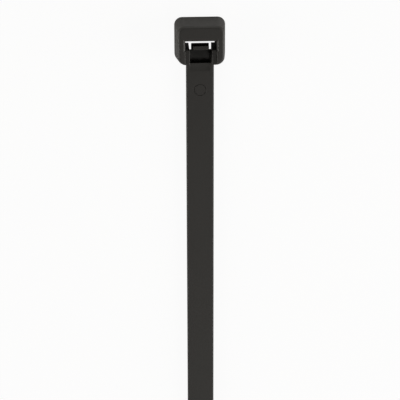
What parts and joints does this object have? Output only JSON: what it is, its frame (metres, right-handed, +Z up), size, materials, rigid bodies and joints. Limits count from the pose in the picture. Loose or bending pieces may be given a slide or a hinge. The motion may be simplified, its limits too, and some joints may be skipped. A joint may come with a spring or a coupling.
{
  "type": "cable tie",
  "caption": "Self-locking one-piece nylon cable tie: boxy head with slot and moulded pawl, flat toothed strap and tapered tail.",
  "frame": {"origin": "under the middle of the tie's box, on the surface that it lies on", "axes": "+Y along the strap towards the head, +Z up from the toothed side to the smooth side and the head's exit face"},
  "size_m": [0.0088, 0.15, 0.0055],
  "materials": {
    "black_nylon": "satin, weather-resistant black nylon 6/6"
  },
  "bodies": {
    "root": {"cable_tie": "black_nylon"}
  },
  "joints": []
}
